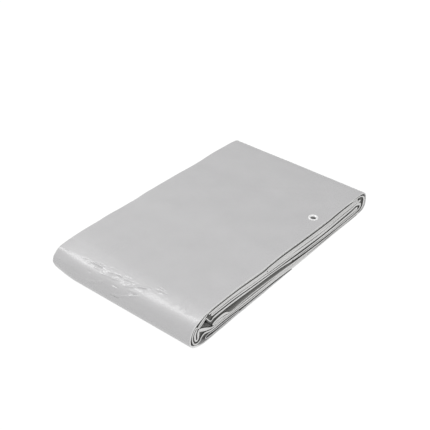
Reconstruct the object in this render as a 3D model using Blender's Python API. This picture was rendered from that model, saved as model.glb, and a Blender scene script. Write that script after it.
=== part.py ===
"""A folded tarp: one coated sheet folded back and forth into a flat packet, with one metal eyelet.

Metres, +Z up. The packet lies on z = 0 with its length along X, its open layered side at -Y
and its big rolled fold at -X. The sheet is a centre surface that a Solidify modifier thickens.
"""

import math

import bmesh
import bpy
import numpy as np

MM = 0.001

# Sizes of the packet, in millimetres
WIDTH = 300.0
SKIN = 2.4
GAP = 0.4
PIECE_GAP = 0.3

# How far the packet sinks at its far side, as a part of its height
FAR_SINK = 0.035
# Slow waver of the layers, as a part of their height, and its length
WAVE = 0.012
WAVE_LONG = 210.0

# Eyelet, in millimetres: ring and bore radii, and where it sits on the packet
RING_R = 9.2
BORE_R = 5.0
BARREL_R = 5.9
HOLE_R = 6.3
WASHER_R = 8.0
RING_RISE = 1.2
WASHER_THICK = 0.5
EYELET_X = 112.0
EYELET_Y = -125.0

# Strip of the top skin that carries the eyelet: its ends along the packet and its depth from the edge
STRIP_X = (64.0, 160.0)
STRIP_DEPTH = 40.0

# Heights of the groups of layers at stations along the packet. Each group is given by the height
# of its upper and lower face. The skin is given by its middle.
STATION_COLUMNS = (
    "x", "skin", "upper_top", "upper_low", "middle_top", "middle_low", "lower_top", "lower_low",
)
STATIONS = (
    (-200.0, 56.0, 53.9, 43.0, 38.4, 34.4, 25.0, 12.6),
    (-184.0, 56.1, 54.0, 42.8, 38.4, 34.4, 24.8, 12.9),
    (-170.0, 55.7, 53.7, 42.6, 38.4, 34.4, 24.4, 12.9),
    (-150.0, 55.1, 53.2, 41.8, 38.0, 34.0, 20.0, 11.9),
    (-132.0, 54.5, 52.6, 40.3, 37.2, 33.3, 19.6, 10.3),
    (-120.0, 54.0, 52.1, 39.4, 36.7, 32.8, 19.8, 9.2),
    (-100.0, 52.6, 50.8, 37.9, 35.2, 31.5, 19.6, 8.4),
    (-80.0, 50.6, 48.8, 35.9, 33.4, 29.9, 19.0, 7.9),
    (-50.0, 49.7, 47.9, 33.6, 31.2, 28.2, 17.8, 7.1),
    (-20.0, 49.9, 48.1, 31.0, 29.0, 25.6, 16.2, 5.6),
    (0.0, 49.1, 47.3, 29.1, 27.2, 23.4, 14.6, 4.4),
    (20.0, 47.7, 45.8, 27.4, 25.3, 20.4, 13.2, 2.8),
    (31.0, 47.0, 45.0, 26.6, 24.5, 18.6, 12.5, 0.0),
    (50.0, 46.2, 44.2, 25.4, 23.2, 16.2, 11.4, 0.0),
    (75.0, 44.6, 42.4, 24.0, 21.8, 14.2, 10.4, 0.0),
    (98.0, 43.5, 40.9, 22.9, 20.8, 12.8, 9.6, 0.0),
    (128.0, 42.1, 39.5, 22.3, 20.2, 11.2, 8.8, 0.0),
    (150.0, 42.5, 40.3, 22.3, 20.2, 10.4, 8.2, 0.0),
    (180.0, 42.4, 40.4, 22.5, 20.4, 9.8, 7.6, 0.0),
    (200.0, 42.0, 40.0, 22.6, 20.0, 9.6, 7.3, 0.0),
    (222.0, 41.2, 39.1, 23.4, 19.4, 9.2, 6.9, 0.0),
)

# Layers in the order in which the sheet runs, from its tucked end to its inner end. Slot and
# count are the layer's place from the top of its group, left and right of the fold at split.
LAYER_COLUMNS = ("group", "start", "end", "slot_left", "count_left", "slot_right", "count_right")
LAYERS = {
    "top": ("skin", -200.0, 215.0, 0, 1, 0, 1),
    "lower_1": ("lower", 222.0, -190.0, 3, 4, 3, 4),
    "lower_2": ("lower", -190.0, 224.0, 2, 4, 2, 4),
    "lower_3": ("lower", 224.0, -156.0, 1, 4, 1, 4),
    "lower_4": ("lower", -144.0, 222.0, 0, 4, 0, 4),
    "upper_1": ("upper", 215.0, -200.0, 0, 4, 0, 6),
    "middle_1": ("middle", -184.0, 216.0, 0, 1, 0, 3),
    "middle_2": ("middle", 216.0, 24.0, 1, 1, 1, 3),
    "middle_3": ("middle", 24.0, 212.0, 2, 1, 2, 3),
    "upper_6": ("upper", 208.0, -194.0, 3, 4, 5, 6),
    "upper_5": ("upper", -194.0, 222.0, 2, 4, 4, 6),
    "upper_4": ("upper", 222.0, -47.0, 2, 4, 3, 6),
    "upper_3": ("upper", -47.0, 216.0, 1, 4, 2, 6),
    "upper_2": ("upper", 216.0, -200.0, 1, 4, 1, 6),
}
SPLITS = {"skin": 0.0, "lower": 0.0, "middle": 13.0, "upper": -58.0}
SPLIT_BLEND = 14.0

# Most thickness of a layer inside the packet
LAYER_MOST = 2.9

# The skin's run along the floor as (x, thickness) from its tucked end: it thins out towards that end
FLOOR_LAYER = (
    (14.0, 1.1), (0.0, 1.3), (-20.0, 1.6), (-50.0, 1.9), (-90.0, 2.2), (-150.0, 2.4), (-212.0, 2.4),
)

# Folds between the layers, each a row of (x, z, thickness) points in the order in which the
# sheet runs
FOLDS = {
    "tail": (
        (-128.0, 7.4, 2.0), (-150.0, 8.9, 2.2), (-172.0, 9.3, 2.3), (-192.0, 10.0, 2.2),
        (-204.0, 11.0, 2.0), (-210.2, 9.6, 1.9), (-210.6, 6.2, 1.9), (-204.0, 4.8, 2.1),
        (-172.0, 5.0, 2.1), (-120.0, 4.6, 2.0), (-60.0, 4.0, 1.8), (-20.0, 3.1, 1.4),
        (0.0, 2.6, 1.2), (14.0, 2.1, 1.0), (17.2, 1.9, 1.0), (18.3, 1.3, 1.0), (17.2, 0.6, 1.0),
    ),
    "left_fold": (
        (-221.0, 1.8, 2.4), (-231.0, 4.4, 2.4), (-239.2, 8.2, 2.4), (-244.2, 13.0, 2.4),
        (-246.4, 19.4, 2.4), (-246.6, 26.0, 2.4), (-245.0, 32.8, 2.4), (-241.4, 39.8, 2.4),
        (-235.4, 45.8, 2.4), (-225.8, 50.9, 2.4), (-213.6, 54.5, 2.4),
    ),
    "right_fold": (
        (227.6, 40.7, 2.4), (237.2, 38.9, 2.4), (243.2, 34.8, 2.4), (246.0, 28.4, 2.4),
        (246.6, 21.0, 2.4), (245.8, 13.2, 2.4), (242.6, 6.4, 2.4), (236.6, 2.5, 2.2),
        (229.0, 1.1, 2.0),
    ),
    "curl": (
        (-200.0, 15.5, 2.4), (-208.0, 18.2, 2.6), (-215.0, 19.6, 2.6), (-220.6, 17.2, 2.4),
        (-225.2, 13.8, 2.4), (-231.0, 13.2, 2.4), (-236.6, 16.4, 2.4), (-240.2, 21.4, 2.4),
        (-241.4, 28.0, 2.6), (-240.0, 34.0, 2.8), (-236.6, 39.2, 2.8), (-232.8, 41.4, 2.5),
        (-230.9, 39.4, 2.2), (-232.6, 34.8, 2.6), (-234.6, 29.6, 2.8), (-234.4, 24.0, 2.8),
        (-232.2, 20.6, 2.5), (-229.6, 21.6, 2.5), (-228.6, 25.6, 2.8), (-227.6, 30.6, 2.8),
        (-225.2, 33.0, 2.8), (-220.6, 31.0, 2.9), (-213.6, 27.0, 2.9), (-206.0, 22.8, 2.8),
        (-198.6, 19.4, 2.4),
    ),
    "dome": (
        (-166.0, 20.0, 2.0), (-176.0, 20.6, 2.2), (-186.0, 21.0, 2.2), (-191.4, 22.6, 2.2),
        (-190.4, 25.2, 2.4), (-184.0, 26.4, 2.8), (-175.0, 27.0, 2.9), (-166.0, 26.2, 2.9),
        (-158.0, 23.4, 2.6), (-151.4, 19.9, 2.0),
    ),
    "right_wrap": (
        (230.5, 6.4, 2.2), (236.4, 9.0, 2.6), (239.8, 13.4, 2.8), (241.2, 19.4, 2.8),
        (240.8, 25.4, 2.8), (238.0, 30.4, 2.6), (233.0, 34.4, 2.3), (225.0, 37.2, 2.3),
    ),
    "left_wrap": (
        (-207.0, 51.4, 2.5), (-213.0, 49.0, 2.9), (-219.0, 45.6, 2.9), (-224.4, 42.2, 2.7),
        (-226.6, 39.8, 2.3), (-224.8, 37.8, 2.2), (-221.0, 39.0, 2.2), (-216.0, 41.6, 2.1),
        (-211.8, 44.2, 2.0), (-209.0, 45.4, 1.8), (-206.8, 43.8, 1.8), (-203.6, 39.4, 1.8),
        (-199.8, 35.4, 1.8), (-196.4, 33.4, 1.9), (-192.4, 34.2, 2.3),
    ),
    "inner_fold": (
        (222.0, 10.9, 2.8), (228.0, 12.2, 2.8), (230.6, 15.6, 2.9), (228.4, 19.6, 2.9),
        (222.0, 22.6, 2.9), (216.0, 24.3, 2.8),
    ),
}

# The sheet from its tucked end to its inner end: layers and folds by name. A "turn" is a tight
# half circle between the layers on each side of it.
SHEET_ORDER = (
    "tail", "floor", "left_fold", "top", "right_fold", "lower_1", "curl", "lower_2", "turn",
    "lower_3", "dome", "lower_4", "right_wrap", "upper_1", "left_wrap", "middle_1", "turn",
    "middle_2", "turn", "middle_3", "inner_fold", "upper_6", "turn", "upper_5", "turn",
    "upper_4", "turn", "upper_3", "turn", "upper_2",
)

# Rows of points across the width, as a part of half the width, and the thickness kept there,
# so that each layer's edge is rounded like a fold
EDGE_ROWS = ((1.0, 0.6), (0.988, 1.0))
MIDDLE_ROWS = (0.3, -0.3)


def station(column, x):
    """Height of one column of the station table at a place along the packet."""
    at = STATION_COLUMNS.index(column)
    return float(np.interp(x, [row[0] for row in STATIONS], [row[at] for row in STATIONS]))


def layer_point(row, x):
    """Middle height and thickness of a layer at a place along the packet."""
    group, _, _, slot_left, count_left, slot_right, count_right = row
    if group == "skin":
        return station("skin", x), SKIN
    part = np.clip((x - SPLITS[group]) / SPLIT_BLEND + 0.5, 0.0, 1.0)
    top = station(group + "_top", x)
    height = top - station(group + "_low", x) + GAP
    share = (1 - part) / count_left + part / count_right
    place = (1 - part) * (slot_left + 0.5) / count_left + part * (slot_right + 0.5) / count_right
    return top + GAP / 2 - place * height, min(share * height - GAP, LAYER_MOST)


def layer_points(name):
    """Rows of (x, z, thickness) along one layer, or none for a turn."""
    if name == "turn":
        return []
    if name == "floor":
        return [(x, thick / 2, thick) for x, thick in FLOOR_LAYER]
    row = LAYERS[name]
    start, end = row[1], row[2]
    stops = {start, end} | {line[0] for line in STATIONS}
    if name == "top":
        stops |= set(STRIP_X)
    inside = sorted(x for x in stops if min(start, end) <= x <= max(start, end))
    if start > end:
        inside.reverse()
    return [(x,) + layer_point(row, x) for x in inside]


def turn_points(before, after):
    """Three points of the half circle that joins two neighbouring layers."""
    side = 1.0 if before[-1][0] > before[-2][0] else -1.0
    (x0, z0, t0), (x1, z1, t1) = before[-1], after[0]
    radius = abs(z1 - z0) / 2
    rows = []
    for angle in (-45.0, 0.0, 45.0):
        turn = math.radians(angle)
        part = 0.5 + 0.5 * math.sin(turn)
        rows.append((
            x0 + (x1 - x0) * part + side * radius * math.cos(turn),
            z0 + (z1 - z0) * part,
            min(t0, t1),
        ))
    return rows


def sheet_path():
    """Rows of (x, z, thickness) along the whole sheet, and the row numbers where the strip begins and ends."""
    runs = [FOLDS[name] if name in FOLDS else layer_points(name) for name in SHEET_ORDER]
    rows = []
    for number, run in enumerate(runs):
        rows += run or turn_points(runs[number - 1], runs[number + 1])
    ends = [
        next(i for i, row in enumerate(rows) if row[0] == x and row[1] > station("skin", x) - 0.01)
        for x in STRIP_X
    ]
    return rows, ends


# Build


def clear_scene():
    for obj in list(bpy.data.objects):
        bpy.data.objects.remove(obj, do_unlink=True)


def material(name, colour, roughness, metallic):
    """A plain Principled material."""
    made = bpy.data.materials.new(name)
    made.use_nodes = True
    shader = made.node_tree.nodes["Principled BSDF"]
    shader.inputs["Base Color"].default_value = (*colour, 1.0)
    shader.inputs["Roughness"].default_value = roughness
    shader.inputs["Metallic"].default_value = metallic
    return made


def settle(x, y, z):
    """Lets the packet sink a little along its far side and waver along its length."""
    far = (y + WIDTH / 2) / WIDTH
    sink = FAR_SINK * far
    wave = WAVE * math.sin(2 * math.pi * x / WAVE_LONG + 1.1) * math.sin(math.pi * far)
    above = max(z - SKIN / 2, 0.0)
    return x, y, z + above * (wave - sink)


def width_rows(inner=None):
    """Places across the width with the part of the thickness kept there."""
    half = WIDTH / 2
    rows = [(-half * part, thick) for part, thick in EDGE_ROWS]
    if inner is not None:
        rows.append((inner, 1.0))
    rows += [(-half * part, 1.0) for part in MIDDLE_ROWS]
    rows += [(half * part, thick) for part, thick in EDGE_ROWS[::-1]]
    return rows


def sheet_object(name, path, across, missing, look):
    """A sheet from rows along its length and across its width. Cells that missing names are left open."""
    most = max(row[2] for row in path)
    bm = bmesh.new()
    layer = bm.verts.layers.deform.verify()
    grid = []
    for x, z, thick in path:
        line = []
        for y, kept in across:
            vert = bm.verts.new([MM * value for value in settle(x, y, z)])
            vert[layer][0] = thick * kept / most
            line.append(vert)
        grid.append(line)
    for i in range(len(path) - 1):
        for j in range(len(across) - 1):
            if not missing(i, j):
                bm.faces.new((grid[i][j], grid[i + 1][j], grid[i + 1][j + 1], grid[i][j + 1]))
    loose = [vert for vert in bm.verts if not vert.link_faces]
    bmesh.ops.delete(bm, geom=loose, context="VERTS")
    mesh = bpy.data.meshes.new(name)
    bm.to_mesh(mesh)
    bm.free()
    mesh.materials.append(look)
    made = bpy.data.objects.new(name, mesh)
    bpy.context.scene.collection.objects.link(made)
    made.vertex_groups.new(name="thickness")
    solid = made.modifiers.new("Solidify", "SOLIDIFY")
    solid.thickness = MM * most
    solid.offset = 0.0
    solid.vertex_group = "thickness"
    return made


def build_tarp(look):
    """The folded sheet, open where the eyelet's strip lies in its top skin."""
    path, ends = sheet_path()
    inner = -WIDTH / 2 + STRIP_DEPTH
    across = width_rows(inner)
    last = [y for y, _ in across].index(inner)
    return sheet_object(
        "tarp", path, across, lambda i, j: ends[0] <= i < ends[1] and j < last, look
    )


def build_strip(look):
    """The strip of top skin that carries the eyelet, with its hole."""
    start, end = STRIP_X[0] + PIECE_GAP, STRIP_X[1] - PIECE_GAP
    inside = [row[0] for row in STATIONS if start < row[0] < end]
    path = [(x, station("skin", x), SKIN) for x in [start] + inside + [end]]
    half = WIDTH / 2
    across = [(-half * part, thick) for part, thick in EDGE_ROWS]
    across += [(EYELET_Y, 1.0), (-half + STRIP_DEPTH - PIECE_GAP, 1.0)]
    strip = sheet_object("eyelet_strip", path, across, lambda i, j: False, look)
    cutter = round_piece("hole_cutter", ((0.0, -6.0), (HOLE_R, -6.0), (HOLE_R, 6.0), (0.0, 6.0)))
    place_on_strip(cutter)
    cutter.hide_render = True
    cutter.display_type = "WIRE"
    cut = strip.modifiers.new("Hole", "BOOLEAN")
    cut.operation = "DIFFERENCE"
    cut.solver = "EXACT"
    cut.object = cutter
    return strip


def round_piece(name, profile, steps=40):
    """A turned solid from (radius, height) rows in millimetres, about Z."""
    bm = bmesh.new()
    closed = profile[0][0] > 0
    verts = [bm.verts.new((MM * radius, 0.0, MM * height)) for radius, height in profile]
    pairs = list(zip(verts, verts[1:]))
    if closed:
        pairs.append((verts[-1], verts[0]))
    edges = [bm.edges.new(pair) for pair in pairs]
    bmesh.ops.spin(
        bm, geom=verts + edges, axis=(0, 0, 1), cent=(0, 0, 0), steps=steps, angle=2 * math.pi,
        use_merge=True,
    )
    bmesh.ops.remove_doubles(bm, verts=bm.verts, dist=1e-6)
    bmesh.ops.recalc_face_normals(bm, faces=bm.faces)
    mesh = bpy.data.meshes.new(name)
    bm.to_mesh(mesh)
    bm.free()
    made = bpy.data.objects.new(name, mesh)
    bpy.context.scene.collection.objects.link(made)
    return made


def place_on_strip(obj):
    """Stands an object on the middle of the strip's cloth, square to it."""
    step = 5.0
    low = settle(EYELET_X - step, EYELET_Y, station("skin", EYELET_X - step))
    high = settle(EYELET_X + step, EYELET_Y, station("skin", EYELET_X + step))
    middle = settle(EYELET_X, EYELET_Y, station("skin", EYELET_X))
    obj.location = [MM * value for value in middle]
    obj.rotation_euler = (0.0, -math.atan2(high[2] - low[2], high[0] - low[0]), 0.0)


def build_eyelet(look):
    """The rolled ring above the cloth, its barrel through the hole and its washer below."""
    face = SKIN / 2 + PIECE_GAP
    rise = face + RING_RISE
    under = -face
    profile = (
        (BORE_R, under - WASHER_THICK), (WASHER_R, under - WASHER_THICK), (WASHER_R, under),
        (BARREL_R, under), (BARREL_R, face), (RING_R - 0.2, face), (RING_R, face + 0.35),
        (RING_R - 0.25, rise - 0.3), (RING_R - 0.9, rise), (BORE_R + 1.1, rise),
        (BORE_R + 0.35, rise - 0.3), (BORE_R, rise - 0.95),
    )
    ring = round_piece("eyelet", profile)
    ring.data.materials.append(look)
    place_on_strip(ring)
    return ring


def main():
    clear_scene()
    cloth = material("coated_cloth", (0.60, 0.60, 0.61), 0.42, 0.0)
    metal = material("aluminium", (0.86, 0.86, 0.86), 0.32, 1.0)
    build_tarp(cloth)
    build_strip(cloth)
    build_eyelet(metal)


main()
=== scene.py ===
# %% [markdown]
# # A folded tarp
# This lesson dresses a folded packet of coated woven sheet with one metal eyelet. The packed
# model gives the frame: its box says where each surface lies. The finer cloth made here follows
# the same folds, with creases, rounded edges and a woven, glossy coat that the solids leave out.

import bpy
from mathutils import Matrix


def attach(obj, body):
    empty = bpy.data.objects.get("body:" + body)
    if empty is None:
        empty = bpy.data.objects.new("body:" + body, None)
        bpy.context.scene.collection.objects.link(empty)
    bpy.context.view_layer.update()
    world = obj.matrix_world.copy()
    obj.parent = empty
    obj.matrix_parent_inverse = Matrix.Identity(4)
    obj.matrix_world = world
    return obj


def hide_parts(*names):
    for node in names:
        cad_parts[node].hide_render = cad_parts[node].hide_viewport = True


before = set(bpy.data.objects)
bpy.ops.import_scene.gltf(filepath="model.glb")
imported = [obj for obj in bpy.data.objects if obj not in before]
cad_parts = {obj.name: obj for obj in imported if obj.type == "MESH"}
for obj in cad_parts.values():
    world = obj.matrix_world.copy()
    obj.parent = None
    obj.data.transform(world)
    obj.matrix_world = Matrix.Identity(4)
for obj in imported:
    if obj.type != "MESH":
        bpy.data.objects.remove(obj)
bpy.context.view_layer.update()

# %% Modules and units
import math

import bmesh
import bpy
import numpy as np
from mathutils import Matrix, Quaternion, Vector

MM = 0.001

# %% [markdown]
# ## The packet's own sizes
# A real tarp is folded lengthwise to a strip and the strip is folded over and over. The strip's
# section is a single line that runs back and forth. A few tables in millimetres hold it: heights
# of three groups of layers at stations along the packet, the layers in the order in which the
# cloth runs, and the folds that join them. Tables keep the section easy to check against a photo.

# %% Sizes in millimetres
WIDTH = 300.0
SKIN = 2.3
GAP = 0.2
LAYER_MOST = 5.0
EYELET_X = 112.0
EYELET_Y = -125.0
HOLE_R = 6.4
print("packet", WIDTH, "mm wide, with an eyelet at", (EYELET_X, EYELET_Y))

# %% Heights of the groups of layers along the packet
STATION_COLUMNS = (
    "x", "skin", "upper_top", "upper_low", "middle_top", "middle_low", "lower_top", "lower_low",
)
STATIONS = (
    (-200.0, 56.3, 54.2, 41.8, 37.2, 33.4, 25.0, 12.6),
    (-184.0, 56.5, 54.5, 41.4, 37.0, 33.2, 24.8, 12.9),
    (-170.0, 56.2, 54.3, 41.3, 37.1, 33.3, 24.4, 12.9),
    (-150.0, 55.7, 53.9, 40.7, 36.9, 32.9, 19.2, 11.9),
    (-138.0, 55.4, 53.6, 39.8, 36.5, 32.4, 18.8, 10.8),
    (-129.0, 55.3, 53.5, 39.0, 36.0, 31.9, 19.4, 10.1),
    (-120.0, 54.9, 53.1, 38.2, 35.5, 31.4, 19.7, 9.2),
    (-100.0, 53.7, 52.0, 36.1, 33.4, 29.9, 19.5, 8.2),
    (-80.0, 52.0, 50.3, 34.5, 31.8, 28.3, 18.9, 7.8),
    (-50.0, 50.6, 48.9, 32.2, 29.6, 26.7, 17.6, 6.8),
    (-20.0, 50.9, 49.0, 29.6, 27.3, 24.6, 15.9, 4.9),
    (0.0, 49.8, 47.9, 28.3, 25.6, 22.0, 14.3, 3.0),
    (17.0, 48.7, 46.8, 26.9, 24.0, 19.4, 13.0, 1.8),
    (20.5, 48.5, 46.5, 26.6, 23.7, 18.9, 12.8, 0.3),
    (26.0, 48.1, 46.0, 26.1, 23.2, 18.2, 12.4, 0.0),
    (50.0, 47.0, 44.9, 24.2, 21.3, 15.7, 10.9, 0.0),
    (75.0, 45.6, 43.4, 22.6, 19.7, 13.6, 9.8, 0.0),
    (98.0, 44.4, 42.0, 21.3, 18.5, 12.1, 8.9, 0.0),
    (128.0, 42.3, 40.1, 20.8, 17.9, 10.4, 8.0, 0.0),
    (150.0, 42.5, 40.5, 20.8, 17.9, 9.6, 7.4, 0.0),
    (180.0, 42.4, 40.5, 21.0, 18.1, 8.8, 6.6, 0.0),
    (200.0, 42.0, 40.1, 21.1, 17.9, 8.2, 5.9, 0.0),
    (222.0, 41.2, 39.2, 23.4, 19.4, 8.4, 6.0, 0.0),
)


def station(column, x):
    """Height of one column of the station table at a place along the packet."""
    at = STATION_COLUMNS.index(column)
    return float(np.interp(x, [row[0] for row in STATIONS], [row[at] for row in STATIONS]))


print("skin is", station("skin", -184.0), "mm high at the fold,", station("skin", 222.0), "at the end")

# %% Layers and folds in the order in which the cloth runs
# A layer's row is its group, start and end, then its slot and the count of layers in its group,
# first left of the group's split and then right of it. A fold's rows are (x, z, thickness).
LAYERS = {
    "top": ("skin", -200.0, 215.0, 0, 1, 0, 1),
    "lower_1": ("lower", 222.0, -190.0, 3, 4, 3, 4),
    "lower_2": ("lower", -190.0, 224.0, 2, 4, 2, 4),
    "lower_3": ("lower", 224.0, -156.0, 1, 4, 1, 4),
    "lower_4": ("lower", -146.0, 222.0, 0, 4, 0, 4),
    "upper_1": ("upper", 215.0, -200.0, 0, 4, 0, 6),
    "middle_1": ("middle", -184.0, 218.0, 0, 1, 0, 3),
    "middle_2": ("middle", 218.0, 21.0, 1, 1, 1, 3),
    "middle_3": ("middle", 21.0, 214.0, 2, 1, 2, 3),
    "upper_6": ("upper", 208.0, -194.0, 3, 4, 5, 6),
    "upper_5": ("upper", -194.0, 226.0, 2, 4, 4, 6),
    "upper_4": ("upper", 226.0, -50.2, 2, 4, 3, 6),
    "upper_3": ("upper", -50.2, 217.0, 1, 4, 2, 6),
    "upper_2": ("upper", 217.0, -202.0, 1, 4, 1, 6),
}
SPLITS = {"skin": 0.0, "lower": 0.0, "middle": 17.0, "upper": -54.0}
SPLIT_BLEND = 6.0
FLOOR_LAYER = (
    (14.0, 0.6), (0.0, 1.1), (-20.0, 1.6), (-50.0, 2.1), (-90.0, 2.3), (-150.0, 2.3),
    (-212.0, 2.3),
)
FOLDS = {
    "tail": (
        (-128.0, 7.2, 2.2), (-150.0, 8.7, 2.3), (-172.0, 9.2, 2.3), (-192.0, 10.0, 2.3),
        (-204.0, 11.2, 2.2), (-210.2, 9.6, 2.0), (-210.6, 6.2, 2.0), (-204.0, 4.7, 2.2),
        (-172.0, 4.8, 2.3), (-120.0, 4.3, 2.3), (-60.0, 3.8, 2.2), (-20.0, 2.65, 1.6),
        (0.0, 1.85, 1.1), (14.0, 1.2, 0.7), (17.4, 1.0, 0.6), (18.2, 0.66, 0.55),
        (17.4, 0.34, 0.6),
    ),
    "left_fold": (
        (-221.0, 2.0, 2.6), (-230.6, 5.2, 4.0), (-238.6, 8.9, 4.2), (-243.8, 13.3, 3.2),
        (-246.3, 19.4, 2.5), (-246.6, 26.0, 2.3), (-245.0, 32.8, 2.3), (-241.4, 39.8, 2.3),
        (-235.4, 45.8, 2.3), (-225.8, 50.9, 2.3), (-213.6, 54.5, 2.3),
    ),
    "right_fold": (
        (227.6, 40.7, 2.3), (237.2, 38.9, 2.3), (243.2, 34.8, 2.3), (246.0, 28.4, 2.3),
        (246.6, 21.0, 2.3), (245.8, 13.2, 2.3), (242.6, 6.4, 2.3), (236.6, 2.5, 2.2),
        (229.0, 1.1, 2.0),
    ),
    "curl": (
        (-200.0, 15.4, 2.8), (-208.0, 18.2, 3.0), (-215.0, 19.6, 3.0), (-220.6, 16.8, 2.6),
        (-224.4, 12.7, 2.5), (-230.2, 10.9, 2.5), (-236.8, 13.2, 2.6), (-240.7, 19.6, 2.7),
        (-241.7, 27.4, 2.8), (-240.0, 34.0, 3.0), (-236.6, 39.2, 3.2), (-232.6, 42.6, 3.0),
        (-229.9, 41.2, 2.4), (-230.4, 38.4, 2.8), (-233.0, 34.6, 4.2), (-235.0, 29.6, 4.8),
        (-235.0, 24.0, 4.4), (-233.9, 18.4, 3.4), (-230.8, 16.2, 3.2), (-228.0, 18.8, 3.8),
        (-227.4, 25.0, 5.2), (-227.0, 30.0, 5.0), (-225.4, 33.4, 4.6), (-221.4, 31.4, 5.8),
        (-214.0, 27.4, 6.4), (-206.0, 23.0, 5.2), (-198.6, 19.4, 3.4),
    ),
    "dome": (
        (-166.0, 20.0, 2.4), (-176.0, 20.6, 2.9), (-187.0, 20.9, 2.8), (-192.0, 21.6, 2.4),
        (-192.6, 23.4, 2.4), (-187.0, 24.9, 4.0), (-177.0, 25.6, 5.6), (-167.0, 25.2, 5.6),
        (-159.0, 23.0, 4.6), (-152.6, 19.4, 2.4),
    ),
    "right_wrap": (
        (230.5, 5.8, 2.2), (236.2, 8.6, 3.8), (239.6, 13.2, 5.2), (240.8, 19.4, 5.6),
        (240.6, 25.4, 4.8), (238.0, 30.6, 3.4), (233.0, 34.4, 2.3), (225.0, 37.4, 2.3),
    ),
    "left_wrap": (
        (-207.0, 51.6, 2.5), (-213.0, 49.2, 3.4), (-219.0, 45.8, 4.0), (-224.4, 42.5, 3.4),
        (-227.0, 40.2, 2.5), (-225.8, 38.1, 2.3), (-221.5, 39.4, 2.3), (-216.0, 42.0, 2.3),
        (-211.8, 44.8, 2.1), (-209.0, 46.0, 1.9), (-206.8, 44.2, 1.8), (-203.6, 39.6, 1.8),
        (-199.8, 34.8, 1.8), (-196.8, 32.5, 1.8), (-194.4, 32.8, 2.0), (-191.4, 34.6, 2.8),
    ),
    "inner_fold": (
        (222.0, 10.6, 3.0), (228.0, 12.0, 3.6), (230.2, 15.6, 4.4), (228.6, 19.8, 5.4),
        (222.6, 22.8, 4.6), (216.0, 24.4, 3.0),
    ),
}
SKIN_ORDER = ("tail", "floor", "left_fold", "top", "right_fold")
LAYER_ORDER = (
    "lower_1", "curl", "lower_2", "turn", "lower_3", "dome", "lower_4", "right_wrap", "upper_1",
    "left_wrap", "middle_1", "turn", "middle_2", "turn", "middle_3", "inner_fold", "upper_6",
    "turn", "upper_5", "turn", "upper_4", "turn", "upper_3", "turn", "upper_2",
)
print(len(LAYERS), "long layers and", len(FOLDS), "open folds")

# %% [markdown]
# ## From tables to one smooth line
# Each layer is a row of points with a height and a thickness. A tight turn is a half circle
# between two layers. A smooth curve through all the points takes the corners out, so that the
# cloth bends like a stiff coated sheet and not like bent card.

# %% Points of one layer
TURN_ANGLES = (-45.0, 0.0, 45.0)


def layer_point(row, x):
    """Middle height and thickness of a layer at a place along the packet."""
    group, _, _, slot_left, count_left, slot_right, count_right = row
    if group == "skin":
        return station("skin", x), SKIN
    part = np.clip((x - SPLITS[group]) / SPLIT_BLEND + 0.5, 0.0, 1.0)
    top = station(group + "_top", x)
    height = top - station(group + "_low", x) + GAP
    share = (1 - part) / count_left + part / count_right
    place = (1 - part) * (slot_left + 0.5) / count_left + part * (slot_right + 0.5) / count_right
    return top + GAP / 2 - place * height, min(share * height - GAP, LAYER_MOST)


def layer_points(name):
    """Rows of (x, z, thickness) along one layer."""
    if name == "floor":
        return [(x, thick / 2, thick) for x, thick in FLOOR_LAYER]
    row = LAYERS[name]
    start, end = row[1], row[2]
    stops = {start, end} | {line[0] for line in STATIONS}
    stops |= {SPLITS[row[0]] - SPLIT_BLEND / 2, SPLITS[row[0]] + SPLIT_BLEND / 2}
    inside = sorted(x for x in stops if min(start, end) <= x <= max(start, end))
    if start > end:
        inside.reverse()
    return [(x,) + layer_point(row, x) for x in inside]


def turn_points(before, after):
    """Three points of the half circle that joins two neighbouring layers."""
    side = 1.0 if before[-1][0] > before[-2][0] else -1.0
    (x0, z0, t0), (x1, z1, t1) = before[-1], after[0]
    radius = abs(z1 - z0) / 2
    rows = []
    for angle in TURN_ANGLES:
        turn = math.radians(angle)
        part = 0.5 + 0.5 * math.sin(turn)
        x = x0 + (x1 - x0) * part + side * radius * math.cos(turn)
        rows.append((x, z0 + (z1 - z0) * part, min(t0, t1)))
    return rows


print("the lowest inner layer has", len(layer_points("lower_1")), "points")

# %% The line of the cloth, smoothed


def run_points(name):
    """Rows of one layer or fold. A plain turn has none of its own."""
    if name == "turn":
        return []
    return FOLDS[name] if name in FOLDS else layer_points(name)


def rough_line(order):
    """Rows of (x, z, thickness) through the named layers and folds."""
    runs = [run_points(name) for name in order]
    rows = []
    for number, run in enumerate(runs):
        rows += run or turn_points(runs[number - 1], runs[number + 1])
    return np.array(rows)


def smooth_line(rows, step_at):
    """A curve through the rows. The function step_at gives the spacing of its points at a place."""
    ahead, behind = 2 * rows[-1] - rows[-2], 2 * rows[0] - rows[1]
    padded = np.vstack([behind, rows, ahead])
    knots = np.concatenate([[0.0], np.cumsum(np.sqrt(np.hypot(*np.diff(padded[:, :2], axis=0).T)))])
    out = []
    for i in range(1, len(padded) - 2):
        p, k = padded[i - 1:i + 3], knots[i - 1:i + 3]
        middle = p[1:3, :2].mean(axis=0)
        count = max(2, math.ceil(np.hypot(*(p[2] - p[1])[:2]) / step_at(*middle)))
        for part in np.arange(count) / count:
            t = k[1] + (k[2] - k[1]) * part
            # Straight lines through neighbouring points, blended twice, give one smooth stretch.
            a = [((k[j + 1] - t) * p[j] + (t - k[j]) * p[j + 1]) / (k[j + 1] - k[j]) for j in range(3)]
            b = [((k[j + 2] - t) * a[j] + (t - k[j]) * a[j + 1]) / (k[j + 2] - k[j]) for j in range(2)]
            out.append(((k[2] - t) * b[0] + (t - k[1]) * b[1]) / (k[2] - k[1]))
    out.append(rows[-1])
    return np.array(out)


def run_of(line):
    """Distance along a line from its start."""
    return np.concatenate([[0.0], np.cumsum(np.hypot(*np.diff(line[:, :2], axis=0).T))])


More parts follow.
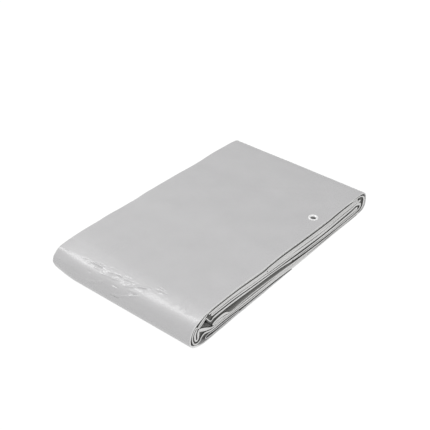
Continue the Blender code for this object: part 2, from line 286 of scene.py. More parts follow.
# %% Spacing of the points along both lines, in millimetres
BIG_FOLD_TO = -190.0
ABOVE_FLOOR = 14.0
ON_TOP = 30.0
ENDS_FROM = 205.0
NEAR_EYELET = 16.0
CREASE_STEP, EYELET_STEP, HIGH_STEP, FLOOR_STEP = 0.85, 2.0, 4.0, 14.0
LEFT_FOLDS_TO = -140.0
FOLD_STEP, LONG_STEP = 2.2, 9.0
# The outer cloth's last row lies on the floor below the small fold.
SKIN_END = (224.5, 1.0, 2.0)


def skin_step(x, z):
    """Fine over the big fold and by the eyelet, where the small shapes are, coarse below."""
    if x < BIG_FOLD_TO and z > ABOVE_FLOOR:
        return CREASE_STEP
    if abs(x - EYELET_X) < NEAR_EYELET and z > ON_TOP:
        return EYELET_STEP
    return HIGH_STEP if z > ABOVE_FLOOR or abs(x) > ENDS_FROM else FLOOR_STEP


def layer_step(x, z):
    """Finer in the folds at both ends, coarser along the packet."""
    return FOLD_STEP if x < LEFT_FOLDS_TO or x > ENDS_FROM else LONG_STEP


skin_rows, layer_rows = rough_line(SKIN_ORDER), rough_line(LAYER_ORDER)
skin_rows = np.vstack([skin_rows, [SKIN_END]])
skin_line = smooth_line(skin_rows, skin_step)
layer_line = smooth_line(layer_rows, layer_step)
print("outer cloth:", len(skin_line), "points over", round(run_of(skin_line)[-1]), "mm")
print("inner layers:", len(layer_line), "points over", round(run_of(layer_line)[-1]), "mm")

# %% [markdown]
# ## Cloth from an edge
# A sheet starts as the line itself, a chain of edges. Extruding the chain along the packet's
# width gives a strip of faces for each step, and a Solidify modifier gives it its thickness. The
# outermost steps are short and get less thickness, so that each edge is round like a fold. The
# top cloth ends in a thin lip that lies flush with its upper face, and shadow gathers below it.

# %% Steps across the width, as (inset from the edge, part of the thickness kept there)
LAYER_EDGE = ((0.0, 0.70), (0.10, 0.90), (0.28, 0.97), (0.6, 1.0))
LOW_EDGE = ((0.0, 0.35), (0.15, 0.65), (0.5, 0.9), (1.2, 1.0))
LIP_EDGE = ((0.0, 0.18), (0.15, 0.32), (0.5, 0.38), (1.2, 0.40), (3.6, 0.42), (6.4, 1.0))


def steps_across(table, middle):
    """Places from the near edge to the far one."""
    half = WIDTH / 2
    return [-half + row[0] for row in table] + list(middle) + [half - row[0] for row in table[::-1]]


def part_kept(table, y):
    """Part of the thickness that a table gives at a place across the width."""
    return float(np.interp(WIDTH / 2 - abs(y), [row[0] for row in table], [row[1] for row in table]))


def layer_part(x, y, z):
    """A plain round edge, the same all along the line."""
    return part_kept(LAYER_EDGE, y)


# %% Where the outer cloth has its lip, by height and by place along the packet
LIP_HEIGHTS = (13.0, 19.0)
LIP_PLACES = (-220.0, -210.0, 222.0, 232.0)


def lip_share(x, z):
    """1 where the outer cloth lies high and flat, 0 on the floor and round both end folds."""
    high = np.interp(z, LIP_HEIGHTS, (0.0, 1.0))
    return float(high * np.interp(x, LIP_PLACES, (0.0, 1.0, 1.0, 0.0)))


def skin_part(x, y, z):
    """A lip where the outer cloth lies high, a plain round edge elsewhere."""
    lip = lip_share(x, z)
    return lip * part_kept(LIP_EDGE, y) + (1.0 - lip) * part_kept(LOW_EDGE, y)


# %% A line extruded across, and a hole in it
CUT_SHARE = 0.85


def extruded(bm, line, across):
    """Extrudes a line along Y. Gives each vertex its row in the line and its place across."""
    chain = [bm.verts.new((x, across[0], z)) for x, z, _ in line]
    edges = [bm.edges.new(pair) for pair in zip(chain, chain[1:])]
    row_at = {(vert.co.x, vert.co.z): row for row, vert in enumerate(chain)}
    place = {vert: (row, across[0]) for row, vert in enumerate(chain)}
    for before, after in zip(across, across[1:]):
        made = bmesh.ops.extrude_edge_only(bm, edges=edges)["geom"]
        fresh = [item for item in made if isinstance(item, bmesh.types.BMVert)]
        edges = [item for item in made if isinstance(item, bmesh.types.BMEdge)]
        bmesh.ops.translate(bm, verts=fresh, vec=(0.0, after - before, 0.0))
        place.update({vert: (row_at[vert.co.x, vert.co.z], after) for vert in fresh})
    return place


def punch(bm, middle, radius, above):
    """Takes the faces out of a flat-lying grid inside a circle and rounds the edge of the hole."""
    def away(vert):
        return math.hypot(vert.co.x - middle[0], vert.co.y - middle[1])

    high = [face for face in bm.faces if face.calc_center_median().z > above]
    inside = [face for face in high if min(away(vert) for vert in face.verts) < CUT_SHARE * radius]
    rim = {vert for face in inside for vert in face.verts}
    bmesh.ops.delete(bm, geom=inside, context="FACES")
    for vert in rim & set(bm.verts):
        scale = radius / away(vert)
        vert.co.x = middle[0] + (vert.co.x - middle[0]) * scale
        vert.co.y = middle[1] + (vert.co.y - middle[1]) * scale


# %% A sheet of cloth along a line


def linked(name, bm):
    """Turns an edited mesh into an object in the scene."""
    mesh = bpy.data.meshes.new(name)
    bm.to_mesh(mesh)
    bm.free()
    piece = bpy.data.objects.new(name, mesh)
    bpy.context.scene.collection.objects.link(piece)
    return piece


def cloth(name, line, across, part, shape, hole=None):
    """A sheet along a line. Part gives the thickness kept, and shape places each point."""
    most = line[:, 2].max()
    along = run_of(line)
    bm = bmesh.new()
    weight = bm.verts.layers.deform.verify()
    uv = bm.loops.layers.uv.new("cloth")
    place = extruded(bm, line, across)
    for vert, (row, y) in place.items():
        vert[weight][0] = line[row, 2] * part(vert.co.x, y, vert.co.z) / most
    for face in bm.faces:
        face.smooth = True
        for loop in face.loops:
            row, y = place[loop.vert]
            loop[uv].uv = (MM * along[row], MM * y)
    if hole:
        punch(bm, *hole)
    for vert, (row, _) in place.items():
        if vert.is_valid:
            vert.co = Vector([MM * value for value in shape(*vert.co, along[row])])
    bmesh.ops.recalc_face_normals(bm, faces=bm.faces)
    piece = linked(name, bm)
    piece.vertex_groups.new(name="thickness")
    solid = piece.modifiers.new("Solidify", "SOLIDIFY")
    solid.thickness = MM * most
    solid.offset = 0.0
    solid.vertex_group = "thickness"
    print(name, len(piece.data.polygons), "faces before thickness")
    return piece


# %% [markdown]
# ## How the packet settles
# A real packet is no straight block. It sinks a little towards its far side and wavers along its
# length. The big fold's far end is squarer above and cut in below. The small fold reaches a
# little further, and its far corner is drawn in. One function says where each point goes, and all
# three pieces use it, so that they still lie on each other afterwards. A lattice could do the
# same, but a formula is easier to measure.

# %% Amounts of settling: parts of the height, lengths in millimetres and the stretches they act on
# An end is a stretch of distance from the middle, towards its own fold. The floor cloth's height
# is where the sinking starts.
FAR_SINK = 0.045
WAVE, WAVE_LONG, WAVE_START = 0.012, 210.0, 1.1
FLOOR_CLOTH = 1.2
FAR_CORNER_FROM = 95.0
BIG_FOLD_END = (205.0, 230.0)
SMALL_FOLD_END = (205.0, 245.0)
SMALL_FOLD_LONGER = 2.0
DRAWN_END = (150.0, 240.0)
DRAWN_MOST = 3.4
# Rows for the big fold's far end: height, and how far its cloth is moved inwards and upwards there.
FAR_FOLD = (
    (0.0, 9.0, 0.0), (14.0, 6.0, 0.0), (24.0, 1.5, 0.8), (32.0, -3.0, 2.6), (39.0, -3.5, 4.8),
    (47.0, 0.0, 6.5), (57.0, 0.0, 3.0),
)


def ramp(value, start, end):
    """0 up to start, 1 from end on, and a straight rise between them."""
    return min(max(value - start, 0.0) / (end - start), 1.0)


def settle(x, y, z):
    """Where a point of the straight packet lies once the packet has settled."""
    far = (y + WIDTH / 2) / WIDTH
    wave = WAVE * math.sin(2 * math.pi * x / WAVE_LONG + WAVE_START) * math.sin(math.pi * far)
    above = max(z - FLOOR_CLOTH, 0.0)
    corner = ramp(y, FAR_CORNER_FROM, WIDTH / 2) ** 2
    fold_corner = corner * ramp(-x, *BIG_FOLD_END)
    heights, inward, upward = zip(*FAR_FOLD)
    moved = fold_corner * float(np.interp(z, heights, inward))
    moved += SMALL_FOLD_LONGER * ramp(x, *SMALL_FOLD_END)
    drawn = DRAWN_MOST * corner * ramp(x, *DRAWN_END)
    raised = fold_corner * float(np.interp(z, heights, upward))
    return x + moved, y - drawn, z + above * (wave - FAR_SINK * far) + raised


top_near, top_far = [settle(0.0, y, station("skin", 0.0))[2] for y in (-WIDTH / 2, WIDTH / 2)]
print("the top's far edge lies", round(top_near - top_far, 1), "mm lower than the near one")

# %% [markdown]
# ## Creases in the outer cloth
# Where stiff coated cloth is bent over a thick packet, its outer face wrinkles into short, sharp
# crinkles that lie nearly along the fold. They are listed one by one: each row of the table is one
# crease on the unrolled cloth, from a start to an end, with its depth (below zero for a trough)
# and its width. "Round" is the distance round the fold, 0 at its top and below zero down its face.
# The two long rows at 143.5 mm are the lines of the hem, and the rows after them are softer
# creases and swells on the top.

# %% Creases as rows: from (round, y) to (round, y), depth and width in millimetres
CREASES = (
    (-22.3, 72.0, -20.6, 55.0, -0.55, 0.9),
    (-26.2, 85.0, -25.2, 50.0, -0.60, 0.9),
    (-28.4, 87.0, -28.0, 81.0, -0.35, 0.9),
    (-24.0, 76.0, -23.0, 56.0, 0.35, 0.9),
    (-29.0, 54.0, -31.6, 49.0, -0.50, 1.0),
    (-34.0, 50.0, -32.4, 35.0, 0.45, 1.2),
    (-32.4, 35.0, -27.6, 23.0, 0.50, 1.2),
    (-28.4, 41.0, -24.8, 28.0, -0.60, 0.9),
    (-24.8, 28.0, -22.4, 9.0, -0.60, 0.9),
    (-33.2, 30.0, -29.0, 12.0, 0.50, 1.0),
    (-25.8, 9.0, -21.6, -9.0, -0.45, 0.9),
    (-27.5, 4.0, -24.5, -12.0, 0.35, 1.0),
    (-34.0, 0.0, -27.4, -17.0, 0.50, 1.3),
    (-27.4, -17.0, -23.2, -24.0, 0.50, 1.2),
    (-23.2, -24.0, -15.6, -47.0, 0.45, 1.1),
    (-26.2, -22.0, -20.6, -39.0, -0.75, 1.0),
    (-28.0, -36.0, -27.2, -40.0, -0.40, 0.9),
    (-14.6, -42.0, -17.4, -48.0, -0.45, 0.9),
    (-5.2, -54.0, -6.4, -65.0, 0.45, 1.2),
    (-7.4, -55.0, -8.0, -66.0, -0.35, 1.0),
    (-14.2, -54.0, -11.4, -73.0, -0.60, 1.0),
    (-16.4, -58.0, -13.6, -70.0, 0.35, 1.0),
    (-39.4, -22.0, -36.4, -30.0, -0.80, 1.2),
    (-45.0, -16.0, -37.4, -32.0, 0.85, 1.2),
    (-51.6, -2.0, -45.0, -16.0, 0.80, 1.2),
    (-54.4, 14.0, -51.6, -2.0, 0.95, 1.2),
    (-57.2, 18.0, -54.4, 0.0, -0.50, 1.3),
    (-56.4, 71.0, -50.0, 53.0, 0.80, 1.3),
    (-50.0, 53.0, -44.0, 40.0, 0.60, 1.3),
    (-41.0, 75.0, -40.0, 69.0, -0.45, 1.2),
    (-41.0, 20.0, -41.4, 8.0, -0.40, 1.0),
    (-43.2, 20.0, -43.6, 10.0, 0.50, 1.0),
    (-39.0, -14.0, -37.4, -20.0, -0.45, 1.0),
    (-3.5, 25.5, -20.0, 21.5, 0.22, 1.6),
    (-5.0, 18.5, -12.0, 11.5, 0.25, 1.6),
    (0.0, 12.0, -14.0, -2.0, 0.15, 2.0),
    (-2.0, -5.0, -12.0, -16.0, 0.15, 2.0),
    (-10.0, -76.0, -20.0, -78.0, 0.15, 2.2),
    (-8.0, -90.0, -25.0, -93.0, -0.22, 2.4),
    (-7.0, -100.0, -24.0, -103.0, 0.25, 2.4),
    (-6.0, -107.0, -26.0, -110.0, -0.30, 2.4),
    (-10.0, -112.0, -24.0, -115.0, 0.25, 2.2),
    (-8.0, -116.0, -27.0, -121.0, -0.35, 2.6),
    (-10.0, -126.0, -24.0, -129.0, -0.20, 2.4),
    (-26.0, 100.0, -24.0, 88.0, -0.30, 1.0),
    (-20.5, 12.0, -18.0, -4.0, -0.25, 1.0),
    (-30.5, 70.0, -30.0, 57.0, 0.35, 1.0),
    (-11.0, -50.0, -9.0, -63.0, 0.35, 1.0),
    (-18.5, 48.0, -17.0, 36.0, -0.25, 1.0),
    (-62.0, -143.5, 455.0, -143.5, 0.14, 0.9),
    (-62.0, 143.5, 455.0, 143.5, 0.14, 0.9),
    (-14.0, 75.0, 56.0, 74.0, -0.25, 1.8),
    (-12.0, 66.0, 60.0, 67.0, -0.28, 1.8),
    (0.0, 70.0, 290.0, 66.0, -0.45, 13.0),
    (316.0, 24.0, 345.0, -22.0, 0.34, 3.6),
    (345.0, -22.0, 388.0, -84.0, 0.38, 3.6),
    (388.0, -84.0, 410.0, -116.0, 0.26, 3.6),
    (288.0, 138.0, 312.0, 106.0, 0.22, 5.0),
    (345.0, -108.0, 384.0, -122.0, 0.40, 7.0),
    (120.0, -58.0, 152.0, -96.0, 0.30, 12.0),
    (160.0, 112.0, 186.0, 86.0, 0.28, 9.0),
)

# %% Height of the creases
# The gain draws the table's depths stronger, so that the creases show in soft light.
CREASE_GAIN = 1.6
RUN_OUT = 0.2
RUN_OUT_GAIN = 1.6
CREASE_SHARPNESS = 1.5


def crease_at(round_fold, y):
    """Height of all creases at a place on the unrolled cloth. Each fades past both its ends."""
    height = 0.0
    for u0, y0, u1, y1, depth, width in CREASES:
        du, dy = u1 - u0, y1 - y0
        part = ((round_fold - u0) * du + (y - y0) * dy) / (du * du + dy * dy)
        if -RUN_OUT < part < 1.0 + RUN_OUT:
            away = abs((round_fold - u0) * dy - (y - y0) * du) / math.hypot(du, dy)
            turn = 2 * math.pi * ((part + RUN_OUT) / (1.0 + 2 * RUN_OUT))
            fade = min(1.0, RUN_OUT_GAIN * (0.5 - 0.5 * math.cos(turn)))
            height += CREASE_GAIN * depth * fade * math.exp(-((away / width) ** CREASE_SHARPNESS))
    return height


print(len(CREASES), "creases, the deepest", min(CREASE_GAIN * row[4] for row in CREASES), "mm")

# %% Fine crumple round the big fold and soft unevenness on top
# A row is a height in millimetres and two waves, each with its turn along and across and its start.
CRUMPLE = (
    (0.13, (0.86, 0.31, 0.0), (-0.22, 0.40, 1.0)),
    (0.07, (1.45, -0.27, 2.0), (0.5, 0.63, 0.0)),
)
UNEVEN = (
    (0.16, (0.043, 0.021, 0.0), (-0.012, 0.031, 0.7)),
    (0.07, (0.11, -0.05, 2.0), (0.0, 0.09, 0.4)),
)
CRUMPLE_MIDDLE = (-21.0, 12.0)
CRUMPLE_REACH = (13.0, 78.0)
UNEVEN_FROM = -75.0


def ripples(rows, u, v):
    """Sum of rows of two crossing waves at a place."""
    def wave(turn_u, turn_v, start):
        return math.sin(turn_u * u + turn_v * v + start)

    return sum(height * wave(*first) * wave(*second) for height, first, second in rows)


def crumple_at(round_fold, y):
    """Fine uneven crumple of the cloth round the creases of the big fold."""
    along = (round_fold - CRUMPLE_MIDDLE[0]) / CRUMPLE_REACH[0]
    across = (y - CRUMPLE_MIDDLE[1]) / CRUMPLE_REACH[1]
    return math.exp(-along ** 2 - across ** 4) * ripples(CRUMPLE, round_fold, y)


# %% Shape of the outer cloth
FOLD_TOP = (-200.0, 56.0)
EDGE_DRAWN = 0.35
# Rows of (size in millimetres, turn along the cloth, start) by which the long edges waver.
EDGE_WAVES = ((0.20, 0.05, 0.6), (0.14, 0.13, 0.0))
skin_run = run_of(skin_line)
fold_top = float(skin_run[np.argmin(np.hypot(*(skin_line[:, :2] - FOLD_TOP).T))])
skin_slope = np.gradient(skin_line[:, :2], axis=0)
skin_slope /= np.hypot(*skin_slope.T)[:, None]


def drawn_in(y, amount):
    """A place across the width, moved in by an amount at the edge and by less in the middle."""
    half = WIDTH / 2
    return y * (1.0 - amount / half * abs(y) / half)


def skin_shape(x, y, z, at):
    """The settled place of a point of the outer cloth, with its creases and its soft unevenness."""
    round_fold = at - fold_top
    along_x = np.interp(at, skin_run, skin_slope[:, 0])
    along_z = np.interp(at, skin_run, skin_slope[:, 1])
    lift = crease_at(round_fold, y) + crumple_at(round_fold, y)
    lift += lip_share(x, z) * (1.0 - part_kept(LIP_EDGE, y)) * SKIN / 2
    if round_fold > UNEVEN_FROM and z > ABOVE_FLOOR:
        lift += ripples(UNEVEN, x, y)
    waver = sum(size * math.sin(turn * at + start) for size, turn, start in EDGE_WAVES)
    return settle(x - along_z * lift, drawn_in(y, EDGE_DRAWN - waver), z + along_x * lift)


print("the big fold's top lies", round(fold_top), "mm along the cloth")

# %% Outer cloth
GRID_TO, GRID_STEP = 141.8, 2.363
skin_across = steps_across(LIP_EDGE, np.arange(-GRID_TO, GRID_TO, GRID_STEP))
outer_cloth = cloth(
    "outer_cloth", skin_line, skin_across, skin_part, skin_shape,
    hole=((EYELET_X, EYELET_Y), HOLE_R, ON_TOP),
)

# %% [markdown]
# ## Inner layers
# The packet's layered side shows the round edges of the inner layers, each a little further in or
# out than its neighbours. They are one strip too, with fewer steps across, because only its edges
# show. A slow waver with the distance along the cloth makes every edge different.

# %% Inner layers
LAYER_GRID = (60.0, 110.0, 138.0, 144.0, 147.0)
LAYER_DRAWN = 0.8
# Rows of (size in millimetres, length of the wave, start) by which the layers' edges waver.
LAYER_WAVES = ((0.40, 71.0, 1.0), (0.22, 23.0, 2.0))
UNDER_TOP = 4.4
UNDER_TOP_PLACES = (190.0, 212.0)
UNDER_TOP_DRAWN = (2.1, 0.4)


def layer_shape(x, y, z, at):
    """The settled place of a point of the inner layers, its edge drawn in by a changing amount."""
    side = 1.0 if y > 0 else -1.0
    drawn = LAYER_DRAWN
    drawn += sum(size * math.sin(at / long + start * side) for size, long, start in LAYER_WAVES)
    if station("skin", x) - z < UNDER_TOP:
        drawn += float(np.interp(abs(x), UNDER_TOP_PLACES, UNDER_TOP_DRAWN))
    return settle(x, drawn_in(y, drawn), z)


layer_middle = [-y for y in LAYER_GRID[::-1]] + [0.0] + list(LAYER_GRID)
layer_across = steps_across(LAYER_EDGE, layer_middle)
inner_layers = cloth("inner_layers", layer_line, layer_across, layer_part, layer_shape)

# %% [markdown]
# ## The eyelet
# An aluminium eyelet is a turned part: a rolled rim on top, a barrel through the cloth and a
# washer that is clinched below it. Its half section is a few points, spun round once. The ring
# stands square to the cloth, which slopes a little there.

# %% Half section of the eyelet as (radius, height above the middle of the cloth)
EYELET_SECTION = (
    (5.25, -1.75), (5.6, -2.0), (8.1, -1.85), (8.3, -1.6), (7.9, -1.4), (6.0, -1.4), (5.9, -0.6),
    (5.9, 0.8), (6.3, 1.2), (8.7, 1.12), (9.25, 1.2), (9.45, 1.6), (9.2, 2.05), (8.4, 2.4),
    (7.4, 2.5), (6.5, 2.36), (5.7, 1.95), (5.3, 1.35), (5.2, 0.6), (5.2, -0.9),
)
EYELET_STEPS = 72

# %% Spin the eyelet and stand it on the cloth
MERGE = 1e-6
SLOPE_REACH = 5.0


def spun(name, section, steps):
    """A closed ring turned from its half section."""
    bm = bmesh.new()
    verts = [bm.verts.new((MM * radius, 0.0, MM * height)) for radius, height in section]
    edges = [bm.edges.new(pair) for pair in zip(verts, verts[1:] + verts[:1])]
    bmesh.ops.spin(
        bm, geom=verts + edges, axis=(0, 0, 1), cent=(0, 0, 0), steps=steps,
        angle=2 * math.pi, use_merge=True,
    )
    bmesh.ops.remove_doubles(bm, verts=bm.verts, dist=MERGE)
    bmesh.ops.recalc_face_normals(bm, faces=bm.faces)
    for face in bm.faces:
        face.smooth = True
    return linked(name, bm)


def on_top(x):
    """A point of the settled top cloth in line with the eyelet."""
    return Vector(settle(x, EYELET_Y, station("skin", x)))


slope = on_top(EYELET_X + SLOPE_REACH) - on_top(EYELET_X - SLOPE_REACH)
stand = Matrix.Rotation(-math.atan2(slope.z, slope.x), 4, "Y")
stand.translation = MM * on_top(EYELET_X)
eyelet_ring = spun("eyelet_ring", EYELET_SECTION, EYELET_STEPS)
eyelet_ring.data.transform(stand)
print("eyelet ring", [round(side / MM, 1) for side in eyelet_ring.dimensions], "mm")

# %% [markdown]
# ## The coated sheet's finish
# The sheet is woven from flat plastic tapes about 2 mm wide and coated with a thin film on both
# faces. The film is glossy over a grey that is not quite even, and the tapes show through it as a
# faint basket of squares. The pattern follows the piece's own UV map, which holds real distances
# along the cloth, so it bends round every fold.

# %% Small helpers for materials


def empty_material(name):
    """A material without nodes, and a function that adds a node with its inputs and settings."""
    look = bpy.data.materials.new(name)
    look.use_nodes = True
    tree = look.node_tree
    tree.nodes.clear()

    def add(kind, inputs=(), **settings):
        node = tree.nodes.new(kind)
        for key, value in settings.items():
            setattr(node, key, value)
        for key, value in dict(inputs).items():
            if isinstance(value, bpy.types.NodeSocket):
                tree.links.new(value, node.inputs[key])
            else:
                node.inputs[key].default_value = value
        return node

    return look, add


def surface(add, inputs):
    """One Principled shader with its inputs, as the surface of the material."""
    shader = add("ShaderNodeBsdfPrincipled", inputs)
    add("ShaderNodeOutputMaterial", {"Surface": shader.outputs[0]})


def worked_out(add, operation, *values):
    """The result of one step of arithmetic."""
    return add("ShaderNodeMath", dict(enumerate(values)), operation=operation).outputs[0]


def spread(add, value, start, end, low=0.0, high=1.0):
    """A value spread from one range to another and held at both ends."""
    limits = {"From Min": start, "From Max": end, "To Min": low, "To Max": high}
    return add("ShaderNodeMapRange", {"Value": value, **limits}).outputs[0]


def clouds(add, place, scale, detail, rough):
    """Soft noise, nearly all of it between 0.3 and 0.7."""
    inputs = {"Vector": place, "Scale": scale, "Detail": detail, "Roughness": rough}
    return add("ShaderNodeTexNoise", inputs).outputs["Fac"]


def blend(add, share, first, second):
    """A colour between two others."""
    return add("ShaderNodeMix", {0: share, 6: first, 7: second}, data_type="RGBA").outputs[2]


def relief(add, height, strength, depth, under=None):
    """A bump with a depth in millimetres, laid over another one where that is given."""
    inputs = {"Height": height, "Strength": strength, "Distance": MM * depth}
    if under is not None:
        inputs["Normal"] = under
    return add("ShaderNodeBump", inputs).outputs[0]


# %% Weave of flat tapes as a height
TAPE = 2.1
TAPE_FLATNESS = 0.35
CROSSING_BLEND = 0.15


def tape_weave(add, u, v):
    """Height of a plain weave of flat tapes, from 0 to 1."""
    turns = [worked_out(add, "MULTIPLY", way, math.pi / (MM * TAPE)) for way in (u, v)]
    waves = [worked_out(add, "SINE", turn) for turn in turns]
    bent = [worked_out(add, "ABSOLUTE", wave) for wave in waves]
    crowns = [worked_out(add, "POWER", height, TAPE_FLATNESS) for height in bent]
    over = worked_out(add, "MULTIPLY", *waves)
    share = spread(add, over, -CROSSING_BLEND, CROSSING_BLEND)
    mixed = add("ShaderNodeMix", {0: share, 2: crowns[0], 3: crowns[1]}, data_type="FLOAT")
    return mixed.outputs[0]


# %% [markdown]
# ## Painted shade and highlight near the open edges
# Thick layers stand for many thin ones, so the darkness that gathers between thin layers is
# painted into the colour as painted shade. Behind each edge the cloth is painted dark, then a
# little paler where light still comes in, and dark again deep inside. The outer cloth has a
# painted highlight along its rim, except on its tail, which is tucked in below like an inner
# layer and gets the painted shade instead. Below the wide gap the painted shade is paler at
# first and darkens further in.

# %% Colours, and bands of distance from the open edge in millimetres
CLOTH_DARK = (0.461, 0.458, 0.463, 1.0)
CLOTH_LIGHT = (0.516, 0.512, 0.517, 1.0)
LAYER_DARK = (0.46, 0.458, 0.452, 1.0)
LAYER_LIGHT = (0.62, 0.617, 0.61, 1.0)
# Painted shade: dark right behind an open edge, paler further in where light still comes.
PAINTED_SHADE = (0.09, 0.09, 0.085, 1.0)
PAINTED_PALER_SHADE = (0.36, 0.36, 0.35, 1.0)
# Painted shade below the wide gap, paler than between the layers.
PAINTED_GAP_SHADE = (0.34, 0.34, 0.33, 1.0)
# Painted highlight: a paler colour along the outer cloth's rim.
PAINTED_RIM_HIGHLIGHT = (0.60, 0.60, 0.597, 1.0)
RIM_HIGHLIGHT_BAND = (0.7, 1.5)
SHADE_FROM_BAND = (0.1, 0.5)
PALER_SHADE_BAND = (2.2, 4.5)
DEEP_SHADE_BAND = (12.0, 18.0)
GAP_SHADE_FROM_BAND = (0.1, 1.2)
GAP_DEEP_SHADE_BAND = (2.0, 15.0)
GAP_LENGTH, GAP_ENDS = 170.0, 5.0
TAIL_END = 8.0
tail_run = float(run_of(np.array(FOLDS["tail"]))[-1])
gap_run = float(run_of(rough_line(LAYER_ORDER[:LAYER_ORDER.index("lower_4")]))[-1])
print("tail is", round(tail_run), "mm long, the wide gap starts", round(gap_run), "mm along the layers")


def further_in(add, half, band):
    """0 nearer to the cloth's open edge than a band, 1 further in."""
    outer, inner = band
    return spread(add, half, MM * (WIDTH / 2 - outer), MM * (WIDTH / 2 - inner))


def painted_shade_behind_edge(add, half, colour):
    """The cloth's own colour at its open edge, and painted shade behind it, paler where light still
    comes in.
    """
    shade = blend(add, further_in(add, half, PALER_SHADE_BAND), PAINTED_SHADE, PAINTED_PALER_SHADE)
    shade = blend(add, further_in(add, half, DEEP_SHADE_BAND), shade, PAINTED_SHADE)
    return blend(add, further_in(add, half, SHADE_FROM_BAND), colour, shade)


def outer_painted_rim_and_shade(add, along, half, colour):
    """A painted highlight along the rim, and painted shade on the tail."""
    rim_highlighted = blend(add, further_in(add, half, RIM_HIGHLIGHT_BAND), PAINTED_RIM_HIGHLIGHT, colour)
    past_tail = spread(add, along, MM * (tail_run - TAIL_END), MM * tail_run)
    return blend(add, past_tail, painted_shade_behind_edge(add, half, colour), rim_highlighted)


def layer_painted_shade(add, along, half, colour):
    """Painted shade between the layers, and a paler painted shade below the wide gap."""
    gap_edge = blend(add, further_in(add, half, GAP_SHADE_FROM_BAND), colour, PAINTED_GAP_SHADE)
    gap_shade = blend(add, further_in(add, half, GAP_DEEP_SHADE_BAND), gap_edge, PAINTED_SHADE)
    begun, ended = [
        spread(add, along, MM * (at - GAP_ENDS), MM * (at + GAP_ENDS))
        for at in (gap_run, gap_run + GAP_LENGTH)
    ]
    in_gap = worked_out(add, "SUBTRACT", begun, ended)
    return blend(add, in_gap, painted_shade_behind_edge(add, half, colour), gap_shade)


# %% Coated sheet
CLOUD_RANGE = (0.3, 0.7)
# Each noise is its scale, its detail and its own roughness.
MOTTLE = (22.0, 3.0, 0.5)
FILM = (130.0, 4.0, 0.55)
FILM_ROUGHNESS = (0.33, 0.42)
FILM_DEPTH, FILM_STRENGTH = 0.35, 0.5
WEAVE_DEPTH, WEAVE_STRENGTH = 0.06, 0.6
OUTER_COAT, LAYER_COAT, COAT_ROUGHNESS = 0.35, 0.0, 0.18


def coated_sheet(name, dark, light, painted_edge_light, coat):
    """Woven sheet under a glossy film. The function given for the edges paints shade, and on the outer
    cloth a highlight, into its colour there.
    """
    look, add = empty_material(name)
    place = add("ShaderNodeUVMap", uv_map="cloth").outputs[0]
    along, across = add("ShaderNodeSeparateXYZ", {0: place}).outputs[:2]
    half = worked_out(add, "ABSOLUTE", across)
    colour = blend(add, clouds(add, place, *MOTTLE), dark, light)
    film = clouds(add, place, *FILM)
    film_relief = relief(add, film, FILM_STRENGTH, FILM_DEPTH)
    weave = tape_weave(add, along, across)
    surface(add, {
        "Base Color": painted_edge_light(add, along, half, colour),
        "Roughness": spread(add, film, *CLOUD_RANGE, *FILM_ROUGHNESS),
        "Normal": relief(add, weave, WEAVE_STRENGTH, WEAVE_DEPTH, film_relief),
        "Coat Weight": coat,
        "Coat Roughness": COAT_ROUGHNESS,
    })
    return look


# The outer cloth gets a painted highlight on its rim and painted shade on its tail; the inner layers
# get painted shade.
outer_look = coated_sheet("coated_sheet", CLOTH_DARK, CLOTH_LIGHT, outer_painted_rim_and_shade, OUTER_COAT)
inner_look = coated_sheet("coated_sheet_layers", LAYER_DARK, LAYER_LIGHT, layer_painted_shade, LAYER_COAT)
outer_cloth.data.materials.append(outer_look)
inner_layers.data.materials.append(inner_look)
print("coated sheet has", len(outer_look.node_tree.nodes), "nodes")

# %% [markdown]
# ## The eyelet's finish
# Pressed aluminium is bright, with fine spots and a little oxide. Noise on the piece's own
# coordinates changes its colour and its roughness, and a fine bump breaks up the reflection. It
# is only half metallic here, because bare metal would mirror the plain sky and look flat and grey.

# %% Aluminium
METAL_DARK = (0.88, 0.88, 0.88, 1.0)
METAL_LIGHT = (0.95, 0.95, 0.95, 1.0)
METAL_SHARE = 0.45
METAL_ROUGHNESS = (0.34, 0.46)
OXIDE = (900.0, 3.0, 0.5)
OXIDE_DEPTH, OXIDE_STRENGTH = 0.05, 0.2


def pressed_aluminium(name):
    """Bright metal with fine spots in its colour, its roughness and its relief."""
    look, add = empty_material(name)
    place = add("ShaderNodeTexCoord").outputs["Object"]
    oxide = clouds(add, place, *OXIDE)
    surface(add, {
        "Base Color": blend(add, oxide, METAL_DARK, METAL_LIGHT),
        "Roughness": spread(add, oxide, *CLOUD_RANGE, *METAL_ROUGHNESS),
        "Normal": relief(add, oxide, OXIDE_STRENGTH, OXIDE_DEPTH),
        "Metallic": METAL_SHARE,
    })
    return look


metal_look = pressed_aluminium("pressed_aluminium")
eyelet_ring.data.materials.append(metal_look)
print("aluminium has", len(metal_look.node_tree.nodes), "nodes")

# %% [markdown]
# ## Floor, light and camera
# The packet lies on a white floor under an even white sky, as in a product photo. Three soft
# panels light it. A long one stands behind the far side and gives the pale line along the big
# fold, a weak wide one next to it softens that, and one in front lights the layered side.

# %% Floor
FLOOR_HALF = 6.0
FLOOR_BELOW = 0.0004
FLOOR_FINISH = {
    "Base Color": (0.04, 0.04, 0.04, 1.0), "Roughness": 1.0, "Specular IOR Level": 0.0,
    "Emission Color": (1.0, 1.0, 1.0, 1.0), "Emission Strength": 1.0,
}
bm = bmesh.new()
bmesh.ops.create_grid(bm, x_segments=1, y_segments=1, size=FLOOR_HALF)
floor = linked("floor", bm)
floor.location = (0.0, 0.0, -FLOOR_BELOW)
floor_look, add_to_floor = empty_material("white_floor")
surface(add_to_floor, FLOOR_FINISH)
floor.data.materials.append(floor_look)
print("floor", 2 * FLOOR_HALF, "m wide")

# %% Sky
SKY = 0.60
world = bpy.data.worlds.new("white_sky")
world.use_nodes = True
sky = world.node_tree.nodes["Background"]
sky.inputs["Color"].default_value = (1.0, 1.0, 1.0, 1.0)
sky.inputs["Strength"].default_value = SKY
bpy.context.scene.world = world

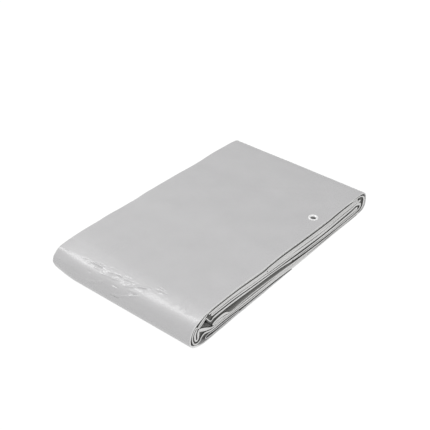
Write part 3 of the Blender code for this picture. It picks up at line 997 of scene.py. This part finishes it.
# %% Soft lights, with places and sizes in metres and powers in watts
PACKET = Vector((0.0, 0.0, 0.0))
BEHIND = 1.6
LONG_WAY = Vector((-0.25, 0.55, 0.79))
LONG_SIZE, LONG_POWER = (0.30, 1.4), 11.0
WIDE_WAY = Vector((0.14, 0.56, 0.82))
WIDE_SIZE, WIDE_POWER = (0.62, 1.4), 2.0
SIDE_AT = Vector((-0.30, -0.98, 0.58))
SIDE_TO = Vector((0.1, -0.1, 0.02))
SIDE_SIZE, SIDE_POWER = (0.7, 0.4), 4.0


def panel_light(name, place, target, size, power):
    """A rectangular soft light at a place, turned to a target."""
    data = bpy.data.lights.new(name, "AREA")
    data.shape = "RECTANGLE"
    data.size, data.size_y = size
    data.energy = power
    light = bpy.data.objects.new(name, data)
    light.location = place
    light.rotation_euler = (place - target).to_track_quat("Z", "Y").to_euler()
    bpy.context.scene.collection.objects.link(light)
    print(name, "stands", round((place - target).length, 2), "m away")


panel_light("long_light", LONG_WAY.normalized() * BEHIND, PACKET, LONG_SIZE, LONG_POWER)
panel_light("wide_light", WIDE_WAY.normalized() * BEHIND, PACKET, WIDE_SIZE, WIDE_POWER)
panel_light("side_light", SIDE_AT, SIDE_TO, SIDE_SIZE, SIDE_POWER)

# %% Camera
CAMERA_AT = Vector((-1.0336, -0.8447, 1.0149))
CAMERA_WAY = Vector((0.6276, 0.5150, -0.5839))
CAMERA_ROLL = -0.15
LENS, SENSOR = 79.53, 36.0
NEAREST = 0.05
PHOTO_PIXELS = 430
camera_data = bpy.data.cameras.new("camera")
camera_data.lens = LENS
camera_data.sensor_width = SENSOR
camera_data.shift_x = -0.5 / PHOTO_PIXELS
camera_data.shift_y = 0.5 / PHOTO_PIXELS
camera_data.clip_start = NEAREST
camera = bpy.data.objects.new("camera", camera_data)
camera.location = CAMERA_AT
look_way = CAMERA_WAY.to_track_quat("-Z", "Y")
roll = Quaternion((0.0, 0.0, 1.0), math.radians(CAMERA_ROLL))
camera.rotation_euler = (look_way @ roll).to_euler()
bpy.context.scene.collection.objects.link(camera)
bpy.context.scene.camera = camera
bpy.context.scene.view_settings.view_transform = "Standard"
print("camera stands", round(CAMERA_AT.length, 2), "m away")

# %% [markdown]
# ## Ride and replace
# Each piece rides on the one body and stands for its solids, which are hidden.

# %% Tie the pieces to the frame
for piece in (outer_cloth, inner_layers, eyelet_ring):
    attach(piece, "root")
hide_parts("tarp", "eyelet_strip")
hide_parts("tarp")
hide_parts("eyelet")
